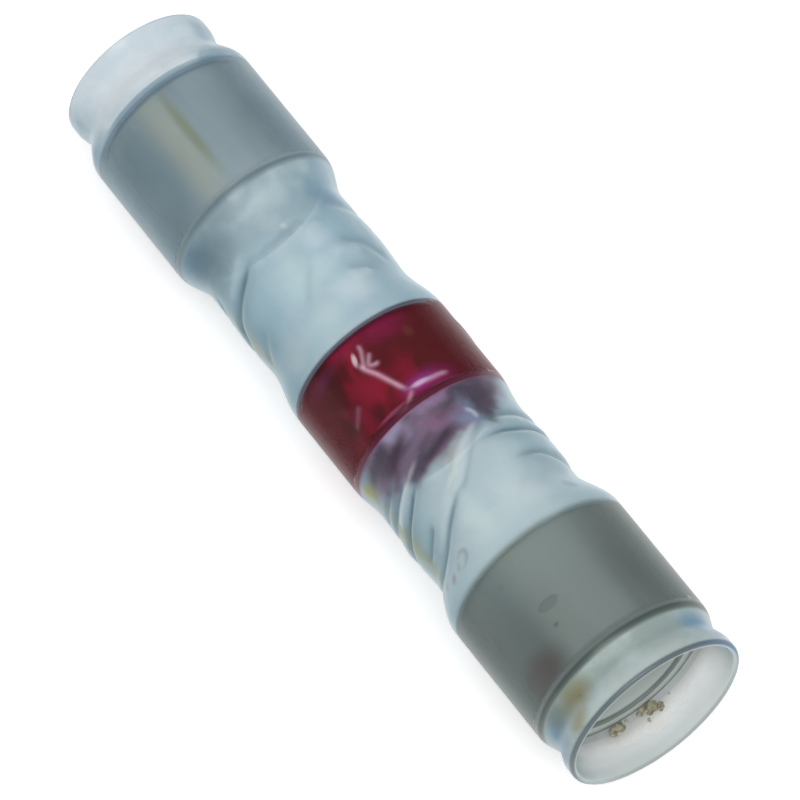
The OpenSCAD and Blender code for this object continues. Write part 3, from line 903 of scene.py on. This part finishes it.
def filmMaterial():
    material, tree, skin = newMaterial("polyolefin film, extruded and shrunk")
    places = addNode(tree, "ShaderNodeGroup", node_tree=placesTree).outputs
    stops = [(end + away, *tone) for end, tones in film["tints"] for away, *tone in tones]
    ramp = alongRamp(tree, places["Along"], stops)
    tints, solid = ramp.outputs["Color"], ramp.outputs["Alpha"]
    outputs = {"Color": ("stain", "flux"), "Fac": ("stained", "fluxed", "streak", "crest", "furrow")}
    named = {
        name: addNode(tree, "ShaderNodeAttribute", attribute_name=name).outputs[output]
        for output, names in outputs.items() for name in names
    }
    unlit = unlitShare(tree, places)
    colour = addClouds(tree, tints, places, named)
    colour, faint = addRingLines(tree, colour, places, tints, unlit)
    colour, smear = addRunFlux(tree, colour, places, named)
    colour = addFoldShades(tree, colour, named)
    colour, lip = addLip(tree, colour, places, unlit)
    dense = filmDensity(tree, places, solid, {**named, "smear": smear, "lip": lip}, faint)
    shine = addNode(tree, "ShaderNodeMapRange", {
        "Value": solid, "From Min": 0.05, "From Max": 0.4, "To Min": 0.1, "To Max": 0.4,
    })
    feed(tree, skin, {
        "Base Color": colour, "Alpha": dense, "Specular IOR Level": shine,
        "Roughness": film["roughness"], "IOR": plasticIor,
    })
    return material


foldLines = drawLines("foldLines", film["folds"])
ridgeLines = drawLines("ridgeLines", film["ridges"])
streakLines = drawLines("streakLines", film["streaks"])
filmSleeve = growPiece("filmSleeve", filmSheet(), shrunkFilm(), {
    "Folds": foldLines, "Fold height": film["foldHeight"],
    "Ridges": ridgeLines, "Ridge height": film["ridgeHeight"], "Streaks": streakLines,
    "Wander": film["wander"], "Wander size": film["wanderSize"], "Seed": film["seed"],
    "Slack": film["slack"], "Floor depth": middle.z / mm / math.cos(lean), "Floor rise": math.tan(lean),
    "Material": filmMaterial(),
    **{name + " place": place for name, place, _ in outline},
    **{name + " radius": radius for name, _, radius in outline},
})
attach(filmSleeve, "root")
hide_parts("film_sleeve")
print("film shrunk", len(filmSleeve.data.polygons))


# Rings: short tubes with rounded edges, slightly uneven all over
def ringSheet(name, size, cut):
    rear, front, edge, boreEdge = size["rear"], size["front"], cut["edge"], cut["boreEdge"]
    wall = size["outer"] - size["bore"]
    return flatSheet(name, [
        *((x, 0.0) for x in spread(rear + edge, front - edge, cut["step"])),
        *roundCorner(front - edge, edge, edge, 0, 6),
        *roundCorner(front - boreEdge, wall - boreEdge, boreEdge, 90, 3),
        *((x, wall) for x in spread(front - boreEdge, rear + boreEdge, cut["step"])),
        *roundCorner(rear + boreEdge, wall - boreEdge, boreEdge, 180, 3),
        *roundCorner(rear + edge, edge, edge, 270, 6),
    ], cut["arcSteps"])


def unevenRing(name, ridged):
    tree, into, out = newTree(name, "GeometryNodeTree", {
        "Geometry": "Geometry", "Radius": "Float", "Unevenness": "Float", "Lump size": "Float",
        "Seed": "Float", "Material": "Material",
        **({"Ridges": "Object", "Ridge height": "Float"} if ridged else {}),
    }, {"Geometry": "Geometry"})
    lumps = noiseRise(tree, pointPlace(tree), into["Lump size"], into["Unevenness"], into["Seed"])
    radius = addNode(tree, "ShaderNodeMath", {0: into["Radius"], 1: lumps})
    geometry = into["Geometry"]
    if ridged:
        ridge = addFolds(tree, into["Ridges"], film["ridges"], film["ridgeFade"])["Crest"]
        radius = addNode(tree, "ShaderNodeMath", {0: ridge, 1: into["Ridge height"], 2: radius},
                         operation="MULTIPLY_ADD")
        geometry = storeValues(tree, geometry, {"ridge": ridge})
    finishTree(tree, rollSheet(tree, geometry, radius), into["Material"], out)
    return tree


def ringValues(size, cut, seed, material):
    return {
        "Radius": size["outer"] - cut["unevenness"] / 2, "Unevenness": cut["unevenness"],
        "Lump size": cut["lumpSize"], "Seed": seed, "Material": material,
    }


# Sealing rings: smoky hot-melt polyolefin, extruded and cut. Satin and slightly see-through,
# so they look soft grey, with faint streaks along the way they were drawn.
sealing = {
    "edge": 0.22, "boreEdge": 0.12, "step": 0.3, "arcSteps": 192, "unevenness": 0.02, "lumpSize": 4.0,
    "streakStretch": (0.12, 1.0, 1.0),  # below 1 draws them out
    "streakFineness": 0.55,  # streaks to a mm
    "roughness": (0.5, 0.36),  # from the dark streaks to the pale ones
    "skinDepth": (0.3, 0.45),  # mm, where the skin's tones give way to the bore's
    "outerEdge": (0.26, 0.12),  # mm under the skin, where the outer edge starts, and is full
    "innerEdge": (0.2, 0.1),  # mm from the bore
    "endStrengths": (0.225, 0.9),  # of the lines at the ends, on the face and at its edges
    "scatter": 0.35,
    "scatterReach": 0.8,  # mm
}
frontLook = {
    "material": "smoky polyolefin, front ring, extruded",
    "seed": 1.0,
    "tones": [(0.34, "#748280"), (0.5, "#828F8D"), (0.68, "#909C99")],
    "boreLightTone": "#C6CECA",
    "endTones": ("#86948F", "#5C6863"),  # rear and front
    "marks": [
        # the next two: painted highlights, pale bands along the ring
        (14.3, 89, 3.6, 1.3, 0, 0.8, "#8E9A98", 0.8),
        (14.3, 119, 3.6, 0.9, 0, 0.8, "#8E9894", 0.7),
        # the next two: painted shade along both flanks
        (14.3, 40, 3.6, 2.2, 0, 0.5, "#66666C", 0.8),
        (14.3, 160, 3.6, 2.4, 0, 0.6, "#6C7C7C", 0.5),
        (16.6, 152, 0.9, 1.5, 0, 0.6, "#5A4440", 0.8),
        (14.5, 117, 0.24, 0.52, 0, 0.15, "#5E6968", 0.5),
        (14.62, 117, 0.2, 0.44, 0, 0.15, "#7C8683", 0.8),
        (15.5, 121, 0.1, 0.12, 0, 0.5, "#5E6968", 0.7),
        (12.44, 133, 0.12, 0.1, 0, 0.5, "#5E6968", 0.6),
        (11.4, 118, 0.5, 0.8, 0, 0.6, "#8C9078", 0.5),
        (11.4, 116, 2.2, 6.4, 0, 0.9, "#98AAA8", 0.45),
    ],
}
rearLook = {
    "material": "smoky polyolefin, rear ring, extruded",
    "seed": 2.0,
    "tones": [(0.34, "#8C9EA8"), (0.5, "#9AADB4"), (0.68, "#A6B8BC")],
    "boreLightTone": "#B8C8CE",
    "endTones": ("#507A8E", "#7A8C94"),
    "marks": [
        # a painted highlight along the ring
        (-13.95, 118, 3.4, 0.75, 0, 0.8, "#AEB6AC", 0.9),
        (-14.2, 105.5, 2.1, 0.26, 0, 0.8, "#8A9268", 0.7),
        # a painted highlight along the ring, then painted shade along both flanks
        (-13.95, 87, 3.4, 0.9, 0, 0.8, "#9EAEB6", 0.7),
        (-13.95, 42, 3.4, 2.0, 0, 0.6, "#788A94", 0.7),
        (-13.95, 160, 3.4, 2.2, 0, 0.6, "#728E98", 0.8),
        (-13.95, 185, 3.4, 0.7, 0, 0.6, "#6A7258", 0.5),
    ],
}


def ringMaterial(size, look):
    material, tree, body = newMaterial(look["material"])
    places = addNode(tree, "ShaderNodeGroup", node_tree=placesTree).outputs
    drawn = addNode(tree, "ShaderNodeMapping", {
        "Vector": places["Place"], "Scale": sealing["streakStretch"],
    })
    streaks = addNode(tree, "ShaderNodeTexNoise", {
        "Vector": drawn, "Scale": sealing["streakFineness"], "Detail": 3.0,
    })
    tones = setStops(addNode(tree, "ShaderNodeValToRGB", {0: streaks}), look["tones"])
    colour = addMarks(tree, tones.outputs["Color"], places, look["marks"])
    # the bore is painted paler than the skin, as painted light where it lies in shade
    outer, bore = size["outer"], size["bore"]
    inner, rim, boreRim = (
        addNode(tree, "ShaderNodeMapRange", {"Value": places["Radius"], "From Min": none, "From Max": full})
        for none, full in (
            [outer - depth for depth in sealing["skinDepth"]],
            [outer - depth for depth in sealing["outerEdge"]],
            [bore + away for away in sealing["innerEdge"]],
        )
    )
    colour = addLayers(tree, colour, (inner, look["boreLightTone"]))
    # each end gets painted shade, a dark line where an edge turns away, with a paler face between
    edges = addNode(tree, "ShaderNodeMath", {0: rim, 1: boreRim}, operation="MAXIMUM")
    onFace, atEdge = sealing["endStrengths"]
    strength = addNode(tree, "ShaderNodeMapRange", {"Value": edges, "To Min": onFace, "To Max": atEdge})
    rearTone, frontTone = look["endTones"]
    dull, satin = sealing["roughness"]
    colour = addEndLines(tree, colour, places["Along"], [
        (size["rear"], 0.1, 0.4, rearTone), (size["front"], -0.1, -0.22, frontTone),
    ], strength)
    roughness = addNode(tree, "ShaderNodeMapRange", {"Value": streaks, "To Min": dull, "To Max": satin})
    feed(tree, body, {
        "Base Color": colour, "Roughness": roughness, "IOR": plasticIor,
        "Subsurface Weight": sealing["scatter"], "Subsurface Radius": (1.0, 1.0, 1.0),
        "Subsurface Scale": sealing["scatterReach"] * mm,
    })
    return material


ringTree = unevenRing("unevenRing", False)
for name, node, slot, look in (
    ("frontSealingRing", "front_sealing_ring", "front_ring", frontLook),
    ("rearSealingRing", "rear_sealing_ring", "rear_ring", rearLook),
):
    size = sizes[node]
    values = ringValues(size, sealing, look["seed"], ringMaterial(size, look))
    piece = growPiece(name, ringSheet(name + "Sheet", size, sealing), ringTree, values)
    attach(piece, "root")
    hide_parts(node)
print("sealing rings made")

# Solder ring: a solder preform under dyed rosin flux, poured on and set. The flux is a
# glossy translucent crimson, nearly black where it is thick.
band = {
    "edge": 0.2, "boreEdge": 0.12, "step": 0.08, "arcSteps": 320, "unevenness": 0.016, "lumpSize": 2.5,
    "seed": 3.0,
    "tones": [(0.38, "#580E16"), (0.5, "#780E20"), (0.64, "#980E34")],
    "poolFineness": 0.7,  # pools to a mm
    "ridge": (0.85, "#E8B4CC"),  # strength and tint
    "endTones": ("#241430", "#2E0C1C"),  # rear and front
    "roughness": 0.25,
    "shine": 0.3,
    "zones": [
        (0.2, 58, 2.6, 2.5, 0, 0.4, "#5C1418", 0.85),
        (0.3, 101, 0.9, 0.5, 20, 0.7, "#5A0E18", 0.8),
        (0.3, 146, 2.2, 0.8, 12, 0.5, "#441412", 0.85),
        (0.6, 165, 2.6, 0.8, 0, 0.6, "#541418", 0.8),
        (1.2, 122, 1.0, 0.8, 0, 0.7, "#981636", 0.85),
        (2.35, 126, 0.5, 0.5, 0, 0.7, "#4A0C16", 0.8),
        (2.5, 156, 0.4, 0.9, 0, 0.7, "#7E1630", 0.8),
        (1.6, 140, 0.9, 0.3, -35, 0.7, "#8C2040", 0.6),
        (-1.15, 118, 0.45, 1.0, 0, 0.7, "#9A1E48", 0.6),
        (-1.0, 86, 0.6, 1.2, 0, 0.7, "#8A1448", 0.8),
        (-0.9, 152, 0.35, 1.2, 0, 0.7, "#6E2450", 0.7),
        (2.4, 84, 0.6, 1.4, 0, 0.6, "#8C1C5C", 0.85),
        (2.3, 90, 0.28, 0.8, 0, 0.8, "#A040A0", 0.7),
        (-0.2, 74, 0.3, 0.25, 20, 0.6, "#7C4038", 0.5),
        (0.6, 24, 2.6, 0.5, 0, 0.7, "#6A3A40", 0.6),
    ],
    "glints": [
        (2.33, 91.5, 0.1, 0.45, 4, 0.7, "#E6C4EC", 0.95),
        (2.42, 78, 0.07, 0.5, 0, 0.7, "#C890C8", 0.6),
        (-0.4, 116.5, 0.28, 0.12, 20, 0.6, "#F6DDE6", 0.9),
        (2.72, 118, 0.09, 0.8, 0, 0.8, "#B0507C", 0.8),
        (2.8, 74, 0.06, 0.9, 0, 0.8, "#A05080", 0.6),
    ],
}


def fluxMaterial():
    material, tree, body = newMaterial("rosin flux over solder, poured and set")
    places = addNode(tree, "ShaderNodeGroup", node_tree=placesTree).outputs
    pools = addNode(tree, "ShaderNodeTexNoise", {
        "Vector": places["Place"], "Scale": band["poolFineness"], "Detail": 3.0, "Distortion": 0.8,
    })
    tones = setStops(addNode(tree, "ShaderNodeValToRGB", {0: pools}), band["tones"])
    colour = addMarks(tree, tones.outputs["Color"], places, band["zones"])
    # pale along the ridges: thinner flux there, with a painted highlight
    strength, tint = band["ridge"]
    ridge = addNode(tree, "ShaderNodeAttribute", attribute_name="ridge").outputs["Fac"]
    pale = addNode(tree, "ShaderNodeMath", {0: ridge, 1: strength}, operation="MULTIPLY", use_clamp=True)
    colour = addLayers(tree, colour, (pale, tint))
    colour = addMarks(tree, colour, places, band["glints"])
    # painted shade at both ends of the solder ring, as dark lines
    rearTone, frontTone = band["endTones"]
    colour = addEndLines(tree, colour, places["Along"], [
        (solder["rear"], 0.06, 0.3, rearTone), (solder["front"], -0.06, -0.3, frontTone),
    ])
    feed(tree, body, {
        "Base Color": colour, "Roughness": band["roughness"], "IOR": plasticIor,
        "Specular IOR Level": band["shine"],
    })
    return material


solderSheet = ringSheet("solderSheet", solder, band)
solderRing = growPiece("solderRing", solderSheet, unevenRing("fluxedRing", True), {
    "Ridges": ridgeLines, "Ridge height": film["ridgeHeight"],
    **ringValues(solder, band, band["seed"], fluxMaterial()),
})
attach(solderRing, "root")
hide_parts("solder_ring")
for lines in (foldLines, ridgeLines, streakLines):
    bpy.data.objects.remove(lines)
print("solder ring made")

# Crumbs: flakes of dried flux that stuck inside the front end
crumbs = {
    "spots": [  # (place along, angle, size)
        (17.7, 285, 0.2), (17.98, 290, 0.26), (18.25, 294, 0.16), (17.85, 281, 0.12), (17.8, 289, 0.16),
        (18.12, 286, 0.12), (17.6, 268, 0.12), (17.85, 263, 0.26), (18.05, 259, 0.18), (17.7, 272, 0.08),
        (18.45, 283, 0.08), (18.0, 303, 0.06), (17.95, 266, 0.16),
    ],
    "sink": 0.9,  # how much of each crumb is in the wall, as a share of its size
    "smallest": (0.8, 0.6, 0.14),  # shares of its size, along the wall and away from it
    "largest": (1.5, 1.1, 0.2),
    "spin": (0, 0, 6.283),
    "lumps": 0.26,
    "lumpFineness": 7.0,  # lumps to a mm
    "seed": 7,
    "tones": [(0.35, "#827C64"), (0.65, "#ACA68E")],
    "grainFineness": 4.0,  # grains to a mm
    "roughness": 0.5,
}


def crumbTree():
    tree, into, out = newTree("stuckCrumbs", "GeometryNodeTree", {
        "Geometry": "Geometry", "Lumps": "Float", "Seed": "Int", "Material": "Material",
    }, {"Geometry": "Geometry"})
    size, outward = (
        addNode(tree, "GeometryNodeInputNamedAttribute", {"Name": name}, data_type=kind)
        for name, kind in (("size", "FLOAT"), ("outward", "FLOAT_VECTOR"))
    )
    spun, shape = (
        addNode(tree, "FunctionNodeRandomValue", {0: low, 1: high, "Seed": into["Seed"]},
                data_type="FLOAT_VECTOR")
        for low, high in (((0, 0, 0), crumbs["spin"]), (crumbs["smallest"], crumbs["largest"]))
    )
    turn = addNode(tree, "FunctionNodeAlignEulerToVector", {"Vector": outward}, axis="Z")
    turned = addNode(tree, "FunctionNodeRotateEuler", {0: turn, 1: spun},
                     rotation_type="EULER", space="LOCAL")
    scale = addNode(tree, "ShaderNodeVectorMath", {0: shape, "Scale": size}, operation="SCALE")
    ball = addNode(tree, "GeometryNodeMeshIcoSphere", {"Radius": 1.0, "Subdivisions": 3})
    stuck = addNode(tree, "GeometryNodeInstanceOnPoints", {
        "Points": into["Geometry"], "Instance": ball, "Rotation": turned, "Scale": scale,
    })
    real = addNode(tree, "GeometryNodeRealizeInstances", {0: stuck})
    noise = addNode(tree, "ShaderNodeTexNoise", {"Scale": crumbs["lumpFineness"], "Detail": 2.0})
    centred = addNode(tree, "ShaderNodeMath", {0: noise, 1: 0.5}, operation="SUBTRACT")
    rise = addNode(tree, "ShaderNodeMath", {0: centred, 1: into["Lumps"]}, operation="MULTIPLY")
    shift = addNode(tree, "ShaderNodeVectorMath", {
        0: addNode(tree, "GeometryNodeInputNormal"), "Scale": rise,
    }, operation="SCALE")
    lumpy = addNode(tree, "GeometryNodeSetPosition", {"Geometry": real, "Offset": shift})
    finishTree(tree, lumpy, into["Material"], out)
    return tree


def crumbMaterial():
    # a pale, dull olive that looks grainy
    material, tree, body = newMaterial("rosin flux, dried and crumbled")
    places = addNode(tree, "ShaderNodeGroup", node_tree=placesTree).outputs
    grain = addNode(tree, "ShaderNodeTexNoise", {
        "Vector": places["Place"], "Scale": crumbs["grainFineness"], "Detail": 3.0,
    })
    tones = setStops(addNode(tree, "ShaderNodeValToRGB", {0: grain}), crumbs["tones"])
    feed(tree, body, {"Base Color": tones, "Roughness": crumbs["roughness"]})
    return material


def innerRadius(x):
    # the inside of the film at a place along it
    for (_, start, first), (_, stop, last) in zip(outline, outline[1:]):
        if start <= x <= stop:
            share = (x - start) / (stop - start)
            return first + (last - first) * share * share * (3 - 2 * share) - film["wall"]
    return outline[-1][2] - film["wall"]


def crumbPoints():
    mesh = bpy.data.meshes.new("crumbSpots")
    points, crumbSizes, outward = [], [], []
    for x, angle, size in crumbs["spots"]:
        ray = Vector((0, math.cos(math.radians(angle)), math.sin(math.radians(angle))))
        points.append(Vector((x, 0, 0)) + ray * (innerRadius(x) - size * 0.5 * crumbs["sink"]))
        crumbSizes.append(size)
        outward.extend(ray)
    mesh.from_pydata(points, [], [])
    mesh.attributes.new("size", "FLOAT", "POINT").data.foreach_set("value", crumbSizes)
    mesh.attributes.new("outward", "FLOAT_VECTOR", "POINT").data.foreach_set("vector", outward)
    return mesh


fluxCrumbs = growPiece("fluxCrumbs", crumbPoints(), crumbTree(), {
    "Lumps": crumbs["lumps"], "Seed": crumbs["seed"], "Material": crumbMaterial(),
})
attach(fluxCrumbs, "root")
print("crumbs stuck")

# Floor: a white sheet that keeps the sleeve's soft shadow
paper = {"halfWidth": 0.75, "colour": "#E6E6E6", "roughness": 0.9, "glow": 0.45}


def paperMaterial():
    # matt and a little brighter to the eye than the light on it makes it, so it looks white
    material, tree, body = newMaterial("white paper, matt")
    path = addNode(tree, "ShaderNodeLightPath").outputs
    seen = path["Is Camera Ray"]
    for ray in ("Is Glossy Ray", "Is Transmission Ray"):
        seen = addNode(tree, "ShaderNodeMath", {0: seen, 1: path[ray]}, operation="MAXIMUM")
    glow = addNode(tree, "ShaderNodeMath", {0: seen, 1: paper["glow"]}, operation="MULTIPLY")
    feed(tree, body, {
        "Base Color": linear(paper["colour"]), "Roughness": paper["roughness"],
        "Emission Color": linear("#FFFFFF"), "Emission Strength": glow,
    })
    return material


floorMesh = bpy.data.meshes.new("floor")
edge = paper["halfWidth"]
corners = [(-edge, -edge, 0), (edge, -edge, 0), (edge, edge, 0), (-edge, edge, 0)]
floorMesh.from_pydata(corners, [], [(0, 1, 2, 3)])
floorMesh.materials.append(paperMaterial())
floor = bpy.data.objects.new("floor", floorMesh)
scene.collection.objects.link(floor)

# Light: a pale room, a large soft lamp over the viewer's shoulder and a low one behind,
# which only the flanks of the folds throw back
lamps = [
    {"name": "overheadLamp", "place": (0.3, -0.12, 0.54), "size": 0.5, "power": 2.6},
    {"name": "backLamp", "place": (-0.52, -0.05, 0.24), "size": 0.3, "power": 0.5},
]
for lamp in lamps:
    light = bpy.data.lights.new(lamp["name"], "AREA")
    light.size = lamp["size"]
    light.energy = lamp["power"]
    holder = bpy.data.objects.new(lamp["name"], light)
    holder.location = lamp["place"]
    holder.rotation_euler = Vector(lamp["place"]).to_track_quat("Z", "Y").to_euler()
    scene.collection.objects.link(holder)

roomLight = {"colour": "#FFFFFF", "strength": 0.5}
room = bpy.data.worlds.new("room")
scene.world = room
room.use_nodes = True
feed(room.node_tree, room.node_tree.nodes["Background"], {
    "Color": linear(roomLight["colour"]), "Strength": roomLight["strength"],
})

# Camera: at the photograph's angle, worked out in the sleeve's frame
viewpoint = {
    "tilt": 24.5,  # how far the front end leans towards the camera, in degrees
    "facing": 108.6,  # angle round the sleeve that faces the camera
    "runDown": 50.98,  # how far below level the axis runs to the right in the picture
    "distance": 387.7,  # mm
    "sensor": 36,  # mm
    "pixelsPerMm": 22.7,
    "frame": 800,  # px
    "axisPlace": 1.137,  # mm along the axis, seen at axisPixel
    "axisPixel": (405.985, 405.582),
}


def addCamera():
    tilt, facing, down = (math.radians(viewpoint[n]) for n in ("tilt", "facing", "runDown"))
    back = Vector((math.sin(tilt), math.cos(tilt) * math.cos(facing), math.cos(tilt) * math.sin(facing)))
    level = (Vector((1, 0, 0)) - back * math.sin(tilt)) / math.cos(tilt)
    beside = back.cross(level)
    right = level * math.cos(down) + beside * math.sin(down)
    up = beside * math.cos(down) - level * math.sin(down)
    centre = viewpoint["frame"] / 2
    shiftX = (centre - viewpoint["axisPixel"][0]) / viewpoint["pixelsPerMm"]
    shiftY = (viewpoint["axisPixel"][1] - centre) / viewpoint["pixelsPerMm"]
    target = Vector((viewpoint["axisPlace"], 0, 0)) + right * shiftX + up * shiftY
    lens = bpy.data.cameras.new("camera")
    lens.sensor_width = viewpoint["sensor"]
    lens.lens = lens.sensor_width * viewpoint["distance"] * viewpoint["pixelsPerMm"] / viewpoint["frame"]
    lens.clip_start, lens.clip_end = 0.01, 10
    holder = bpy.data.objects.new("camera", lens)
    turn = Matrix.Rotation(-lean, 3, "Y") @ Matrix((right, up, back)).transposed()
    place = toPart @ (target + back * viewpoint["distance"])
    holder.matrix_world = Matrix.Translation(place) @ turn.to_4x4()
    scene.collection.objects.link(holder)
    scene.camera = holder


addCamera()
scene.view_settings.view_transform = "Standard"
print("floor, lamps and camera set")
